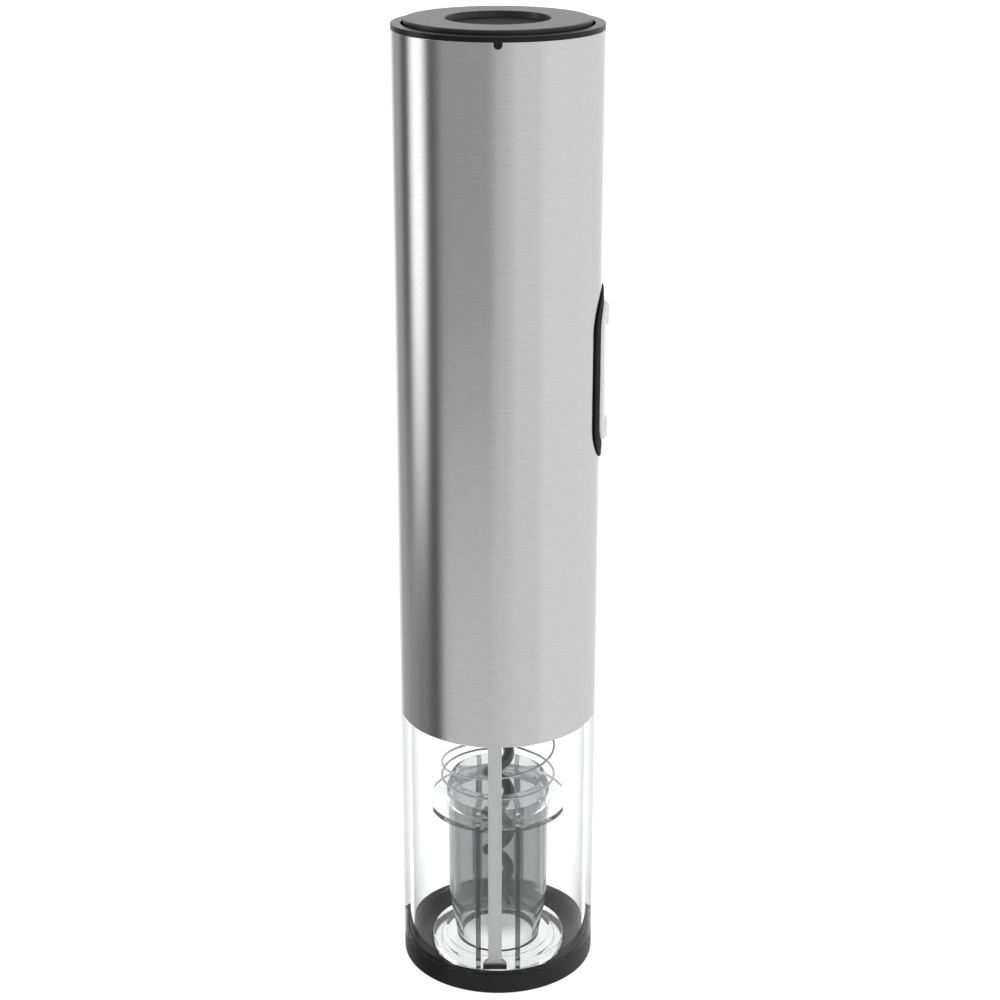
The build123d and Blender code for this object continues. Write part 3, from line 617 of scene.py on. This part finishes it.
def make_tube_and_base():
    low = base_high[2]
    split = shell_low[2]
    wall = turned(
        "tube_wall",
        [(TUBE_IN_R, low), (GROOVE[0] + 0.05 * MM, low), (GROOVE[0] + 0.05 * MM, tube_low[2]),
         (GROOVE[1] - 0.05 * MM, tube_low[2]), (GROOVE[1] - 0.05 * MM, low), (BODY_R, low), (BODY_R, split),
         (INNER_R, split), (INNER_R, tube_high[2]), (TUBE_IN_R, tube_high[2])],
        0.12 * MM, 360, "base", ("clear_tube",),
    )
    combine(wall, front_key("tube_key", split - 1 * MM, split + KEY_DEPTH - 0.1 * MM, INNER_R - 0.5 * MM,
                            BODY_R - 0.1 * MM, KEY_WIDTH - 0.1 * MM), "UNION")
    paint(wall, CLEAR)
    base = turned(
        "foot_ring",
        [(NECK_R, 0), (BODY_R, 0, 0.45 * MM), (BODY_R, low), (GROOVE[1], low), (GROOVE[1], GROOVE[2]),
         (GROOVE[0], GROOVE[2]), (GROOVE[0], low), (TUBE_IN_R, low), (TUBE_IN_R, 2 * MM), (SEAT_R, 2 * MM),
         (SEAT_R, 1 * MM), (NECK_R, 1 * MM)],
        0.12 * MM, 360, "base", ("base_ring",),
    )
    paint(base, BASE_BLACK)


def make_strip():
    """A flat blade whose foot widens in two rounded shoulders and bends inwards."""
    inner = strip_low[1] + STRIP_T
    tab_y, tab_z = strip_high[1], strip_low[2]
    shoulder, bend = STRIP_SHOULDER_Z, STRIP_BEND_Z
    outline = rounded([(strip_low[1], shoulder), (strip_low[1], bend), (tab_y, tab_z),
                       (tab_y, tab_z + STRIP_T), (inner, bend + 0.3 * MM), (inner, shoulder)], 0.3 * MM)
    foot = prism("strip_foot", outline, strip_low[0], strip_high[0], lambda u, v, d: (d, u, v))
    left, right = STRIP_X
    blade = box_piece("strip_blade", (left, strip_low[1], bend + 0.1 * MM), (right, inner, strip_high[2]),
                      0.12 * MM)
    flare = rounded([(strip_low[0], tab_z - 1 * MM), (strip_high[0], tab_z - 1 * MM),
                     (strip_high[0], bend + 0.2 * MM, 1), (right, shoulder + 0.1 * MM),
                     (left, shoulder + 0.1 * MM), (strip_low[0], bend + 0.2 * MM, 1)], 0.7 * MM, 6)
    mask = prism("foot_mask", flare, strip_low[1] - 1 * MM, tab_y + 1 * MM, lambda u, v, d: (u, d, v))
    combine(foot, mask, "INTERSECT")
    combine(blade, foot, "UNION")
    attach(blade, "strip")
    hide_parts("trip_strip")
    paint(blade, STRIP)


# ---- cork sleeve, spring and worm ---------------------------------------------------------------
def make_sleeve():
    """The clear carrier: a foot that seats the bottle, a flange, a collar, four fins and two spring ribs."""
    web_top = FOOT_TOP - FOOT_STEP_H
    throat_r = BARREL_LOW_R - BARREL_WALL
    barrel_z = barrel_low[2]
    body = turned(
        "sleeve_body",
        [(FOOT_SEAT_R, sleeve_low[2]), (FOOT_R, sleeve_low[2]), (FOOT_R - FOOT_TAPER, FOOT_TOP),
         (FOOT_STEP_R, FOOT_TOP), (FOOT_STEP_R - FOOT_STEP_W, web_top), (BARREL_LOW_R + FIT, web_top),
         (BARREL_LOW_R + FIT, barrel_z), (throat_r, barrel_z), (throat_r, FOOT_SEAT_Z),
         (FOOT_SEAT_R, FOOT_SEAT_Z)],
        0.2 * MM,
    )
    hole_r = BARREL_R + FIT
    flange = turned("flange", [(hole_r, FLANGE_Z), (FLANGE_R, FLANGE_Z), (FLANGE_R, FLANGE_TOP),
                               (hole_r, FLANGE_TOP)], 0.2 * MM)
    slab = box_piece("flat_tool", (-FLANGE_FLAT_X, -BODY_R, FLANGE_Z - 1 * MM),
                     (FLANGE_FLAT_X, BODY_R, FLANGE_TOP + 1 * MM), 0.01 * MM)
    combine(flange, slab, "INTERSECT")
    collar_z = FLANGE_Z + 0.5 * MM
    collar = turned("collar_band", [(hole_r, collar_z), (COLLAR_R, collar_z), (COLLAR_R, COLLAR_TOP),
                                    (hole_r, COLLAR_TOP)], 0.1 * MM)
    combine(flange, collar, "UNION")
    combine(body, flange, "UNION")
    for sx in (1, -1):
        for sy in (1, -1):
            x = sorted((sx * (FIN_X - FIN_T / 2), sx * (FIN_X + FIN_T / 2)))
            y = sorted((sy * FOOT_STEP_R, sy * FIN_Y))
            combine(body, box_piece("fin", (x[0], y[0], FIN_Z), (x[1], y[1], FIN_TOP), 0.2 * MM), "UNION")
    for side in (1, -1):
        y = sorted((side * RIB_Y[0], side * RIB_Y[1]))
        rib = box_piece("spring_rib", (-1.5 * MM, y[0], collar_z), (0, y[1], sleeve_high[2]), 0.2 * MM)
        room_r, room_z = COLLAR_R + 2 * FIT, barrel_high[2] + 1 * MM
        room = turned("lip_room", [(0, COLLAR_TOP), (room_r, COLLAR_TOP), (room_r, room_z), (0, room_z)], 0)
        combine(rib, room, "DIFFERENCE")
        combine(body, rib, "UNION")
    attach(body, "sleeve")
    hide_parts("sleeve_carrier")
    paint(body, SLEEVE_CLEAR)
    body.data.materials.append(FIN_PAINTED_SHADE)
    # painted shade: the fins below the flange and the flange's outer rim take the dark grey copy of the clear
    # plastic
    for face in body.data.polygons:
        x, y, z = (abs(v) for v in face.center)
        in_fin = abs(x - FIN_X) < 0.5 * FIN_T + FIT and y > FOOT_STEP_R - FIT
        on_rim = FLANGE_Z < z < FLANGE_TOP and (hypot(x, y) > FLANGE_R - FIT or x > FLANGE_FLAT_X - FIT)
        face.material_index = int(on_rim or (in_fin and FOOT_TOP + FIT < z < FLANGE_Z))


def make_barrel():
    """The smoke-grey barrel: a tapered throat, soft ribs inside, and a funnel mouth above."""
    low, high = barrel_low[2], barrel_high[2]
    bore_r = BARREL_R - BARREL_WALL
    rib_depth = bore_r - BARREL_RIB_R
    mouth_z = COLLAR_TOP + 1 * MM
    rib_low, rib_high = BARREL_TAPER_Z, COLLAR_TOP - 1 * MM
    run = 0.4 * MM
    smooth_rows = rounded([(BARREL_LOW_R, low), (BARREL_LOW_R, FOOT_TOP), (BARREL_R, BARREL_TAPER_Z, 4 * MM),
                           (BARREL_R, COLLAR_TOP), (COLLAR_R, COLLAR_TOP), (COLLAR_R, COLLAR_TOP + 0.6 * MM),
                           (LIP_R, high), (MOUTH_R, high), (MOUTH_LOW_R, mouth_z, 0.8 * MM),
                           (MOUTH_LOW_R, COLLAR_TOP), (bore_r, rib_high), (bore_r, BARREL_TAPER_Z),
                           (BARREL_LOW_R - BARREL_WALL, low)], 0.15 * MM)

    def ribbed(radius, z, angle):
        share = min(max((z - rib_low) / run, 0), 1) * min(max((rib_high - z) / run, 0), 1)
        inside = radius < BARREL_R - BARREL_WALL + FIT
        return radius - (rib_depth * share * max(0.0, cos(BARREL_RIBS * angle)) ** 12 if inside else 0)

    bore = [(bore_r, rib_high - run), (bore_r, rib_low + run)]
    place = next(i for i, (r, z) in enumerate(smooth_rows) if abs(r - bore_r) < FIT and z < rib_high - 5 * MM)
    rows = smooth_rows[:place] + bore + smooth_rows[place:]
    steps = BARREL_RIBS * 64
    bm = bmesh.new()
    loops = []
    for r, z in rows:
        ring = [(ribbed(r, z, tau * k / steps), tau * k / steps) for k in range(steps)]
        loops.append([(radius * cos(angle), radius * sin(angle), z) for radius, angle in ring])
    loft(bm, loops, closed_rows=True)
    piece = finish_mesh(bm, "ribbed_barrel", "sleeve", "cork_barrel")
    paint(piece, SMOKE)
    piece.data.materials.append(SMOKE_PAINTED_LIGHT)
    # painted light: faces inside the wall and all faces above the collar take the near-white copy of the
    # smoke grey
    for face in piece.data.polygons:
        centre = face.center
        share = min(max((BARREL_TAPER_Z - centre.z) / (BARREL_TAPER_Z - low), 0), 1)
        middle_r = BARREL_R - 0.5 * BARREL_WALL - share * (BARREL_R - BARREL_LOW_R)
        inside = hypot(centre.x, centre.y) < middle_r
        face.material_index = int(inside or centre.z > COLLAR_TOP + FIT)


def make_spring():
    """Flat end coils and an open middle."""
    low = spring_low[2] + SPRING_WIRE_R
    high = spring_high[2] - SPRING_WIRE_R
    closed = 0.9
    steps = 720
    centres = []
    for k in range(steps + 1):
        turn = SPRING_TURNS * k / steps
        free = min(max((turn - closed) / (SPRING_TURNS - 2 * closed), 0), 1)
        z = low + (high - low - 2 * SPRING_WIRE_R) * free
        z += SPRING_WIRE_R * (min(turn / closed, 1) + max(0, (turn - SPRING_TURNS + closed) / closed))
        angle = pi / 2 + tau * turn
        centres.append((SPRING_R * cos(angle), SPRING_R * sin(angle), z))
    piece = wire("spring_coil", centres, [SPRING_WIRE_R] * len(centres), 12, "base", ("return_spring",))
    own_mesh(piece)
    paint(piece, SPRING)


def make_worm():
    """The coated screw: an open helix that narrows to an off-axis point."""
    tip = worm_low[2]
    top = worm_high[2]
    steps = 640
    start_z = tip + WORM_WIRE_R
    turns = (top - 5 * MM - start_z) / WORM_PITCH
    centres = []
    radii = []
    for k in range(steps + 1):
        turn = turns * k / steps
        sharp = min(turn / 0.55, 1)
        angle = tau * turn
        centres.append((WORM_R * cos(angle), WORM_R * sin(angle), start_z + turn * WORM_PITCH))
        radii.append(WORM_WIRE_R * (0.08 + 0.92 * sqrt(sharp)))
    piece = wire("worm_helix", centres, radii, 20)
    shank_r, shank_z = WORM_R + 1 * MM, top - 6 * MM
    shank = turned("shank", [(0, shank_z), (shank_r, shank_z), (shank_r, top), (0, top)], 0.3 * MM, 64)
    combine(piece, shank, "UNION")
    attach(piece, "worm_drive")
    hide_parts("worm")
    paint(piece, COATING)


# ---- pieces kept from the CAD -------------------------------------------------------------------
def make_inner_looks():
    looks = {
        "bare_steel": SPRING,
        "zinc": metal("zinc_plate", (0.48, 0.49, 0.50), (0.58, 0.59, 0.60), (0.3, 0.42)),
        "brass": metal("turned_brass", (0.55, 0.36, 0.12), (0.66, 0.46, 0.18), (0.22, 0.34)),
        "copper": metal("copper_wire", (0.50, 0.20, 0.09), (0.62, 0.28, 0.13), (0.25, 0.4)),
        "iron": metal("laminated_iron", (0.10, 0.10, 0.105), (0.16, 0.16, 0.165), (0.4, 0.55), (1, 1, 12)),
        "black": BLACK,
        "frame_plastic": plastic("frame_moulding", (0.020, 0.021, 0.023), (0.028, 0.029, 0.031), (0.4, 0.5)),
        "gear_plastic": plastic("acetal", (0.62, 0.59, 0.50), (0.72, 0.69, 0.60), (0.3, 0.42)),
        "board_green": plastic("solder_mask", (0.008, 0.06, 0.02), (0.014, 0.10, 0.035), (0.25, 0.4), 900),
        "switch_black": plastic("switch_moulding", (0.008, 0.008, 0.009), (0.013, 0.013, 0.014), (0.35, 0.5)),
        "plunger_white": plastic("white_moulding", (0.70, 0.70, 0.68), (0.80, 0.80, 0.78), (0.3, 0.4)),
        "cell_wrap": plastic("cell_sleeve", (0.05, 0.12, 0.17), (0.08, 0.17, 0.22), (0.18, 0.28)),
    }
    slots = {item["node"]: item["material_slot"] for item in frame["record"]["subparts"]}
    for name, piece in frame["nodes"].items():
        look = looks.get(slots[name])
        if look:
            for k in range(len(piece.material_slots)):
                piece.material_slots[k].material = look


# ---- floor, light and camera --------------------------------------------------------------------
def make_floor():
    bm = bmesh.new()
    bmesh.ops.create_grid(bm, x_segments=8, y_segments=8, size=4.0)
    mesh = bpy.data.meshes.new("floor")
    bm.to_mesh(mesh)
    bm.free()
    floor = bpy.data.objects.new("floor", mesh)
    bpy.context.scene.collection.objects.link(floor)
    material = plastic("pale_floor", (0.28, 0.28, 0.28), (0.30, 0.30, 0.30), (0.6, 0.7), 40, 0.0)
    shader = material.node_tree.nodes["Principled BSDF"]
    shader.inputs["Emission Color"].default_value = (1, 1, 1, 1)
    shader.inputs["Emission Strength"].default_value = 0.85
    floor.data.materials.append(material)
    floor.visible_glossy = False


TENT_R = 0.17
TENT_LOW_Z = -0.20
TENT_TOP = 0.60
PANEL_SOFTNESS = 14
TABLE_HEIGHTS = (0.05, 0.15)
# soft panels round the object, from the back by way of the left: bearing in degrees where each ends
# (0 in front, positive towards the buttons), its level near the table, its level above that
PANELS = (
    (-145, 1.0, 1.1),  # back wall
    (-120, 0.4, 0.4),  # grey wall
    (-102, 0.3, 0.1),  # rear black flag
    (-80, 0.2, 1.4),  # strip light
    (-63, 0.1, 0.1),  # side black flag
    (-4, 0.6, 0.35),  # grey front
    (14, 0.65, 0.55),  # middle front
    (45, 0.7, 0.7),  # white front
    (150, 0.8, 0.8),  # white side
    (180, 1.0, 1.1),  # back wall again
)


def make_tent():
    """A soft cylindrical light tent that only reflections see."""
    bm = bmesh.new()
    steps = 96
    loft(bm, [[(TENT_R * cos(tau * k / steps), TENT_R * sin(tau * k / steps), z) for k in range(steps)]
              for z in (TENT_LOW_Z, TENT_TOP)])
    mesh = bpy.data.meshes.new("light_tent")
    bm.to_mesh(mesh)
    bm.free()
    tent = bpy.data.objects.new("light_tent", mesh)
    bpy.context.scene.collection.objects.link(tent)
    material = bpy.data.materials.new("tent_light")
    material.use_nodes = True
    nodes = material.node_tree.nodes
    links = material.node_tree.links
    nodes.clear()
    where = nodes.new("ShaderNodeTexCoord")
    split = nodes.new("ShaderNodeSeparateXYZ")
    angle = nodes.new("ShaderNodeMath")
    angle.operation = "ARCTAN2"
    flip = nodes.new("ShaderNodeMath")
    flip.operation = "MULTIPLY"
    flip.inputs[1].default_value = -1.0
    turn = nodes.new("ShaderNodeMapRange")
    turn.inputs["From Min"].default_value = -pi
    turn.inputs["From Max"].default_value = pi
    links.new(where.outputs["Object"], split.inputs["Vector"])
    links.new(split.outputs["Y"], flip.inputs[0])
    links.new(split.outputs["X"], angle.inputs[0])
    links.new(flip.outputs["Value"], angle.inputs[1])
    links.new(angle.outputs["Value"], turn.inputs["Value"])
    colours = []
    half = PANEL_SOFTNESS / 2
    for column in (1, 2):
        ramp = nodes.new("ShaderNodeValToRGB")
        ramp.color_ramp.interpolation = "EASE"
        elements = ramp.color_ramp.elements
        stops = []
        start = -180 - half
        for panel in PANELS:
            stops += [(start + half, panel[column]), (panel[0] - half, panel[column])]
            start = panel[0]
        for k, (bearing, level) in enumerate(stops):
            place = (bearing + 180) / 360
            element = elements[k] if k < 2 else elements.new(place)
            element.position = place
            element.color = (level, level, level, 1)
        links.new(turn.outputs["Result"], ramp.inputs["Fac"])
        colours.append(ramp.outputs["Color"])
    height = nodes.new("ShaderNodeMapRange")
    height.inputs["From Min"].default_value, height.inputs["From Max"].default_value = TABLE_HEIGHTS
    links.new(split.outputs["Z"], height.inputs["Value"])
    mix = nodes.new("ShaderNodeMix")
    mix.data_type = "RGBA"
    links.new(height.outputs["Result"], mix.inputs["Factor"])
    links.new(colours[0], mix.inputs[6])
    links.new(colours[1], mix.inputs[7])
    glow = nodes.new("ShaderNodeEmission")
    out = nodes.new("ShaderNodeOutputMaterial")
    links.new(mix.outputs[2], glow.inputs["Color"])
    links.new(glow.outputs["Emission"], out.inputs["Surface"])
    tent.data.materials.append(material)
    tent.visible_camera = False
    tent.visible_diffuse = False
    tent.visible_shadow = False
    tent.visible_transmission = False


def make_light():
    world = bpy.data.worlds.new("studio")
    bpy.context.scene.world = world
    world.use_nodes = True
    background = world.node_tree.nodes["Background"]
    background.inputs["Color"].default_value = (1.0, 1.0, 1.0, 1)
    background.inputs["Strength"].default_value = 1.25
    scene = bpy.context.scene
    scene.view_settings.view_transform = "Standard"


CAMERA_PLACE = (0.0, -0.49642, 0.30906)
CAMERA_DOWN = radians(20.141)
CAMERA_LENS = 76.33
CAMERA_SHIFT = 0.002


def make_camera():
    lens = bpy.data.cameras.new("camera")
    lens.lens = CAMERA_LENS
    lens.sensor_width = 36.0
    lens.shift_x = CAMERA_SHIFT
    lens.clip_start = 0.01
    camera = bpy.data.objects.new("camera", lens)
    camera.location = CAMERA_PLACE
    camera.rotation_euler = (pi / 2 - CAMERA_DOWN, 0, 0)
    bpy.context.scene.collection.objects.link(camera)
    bpy.context.scene.camera = camera


make_camera()
make_shell()
make_top()
make_bezel()
make_rocker()
make_tube_and_base()
make_strip()
make_sleeve()
make_barrel()
make_spring()
make_worm()
make_inner_looks()
make_floor()
make_tent()
make_light()
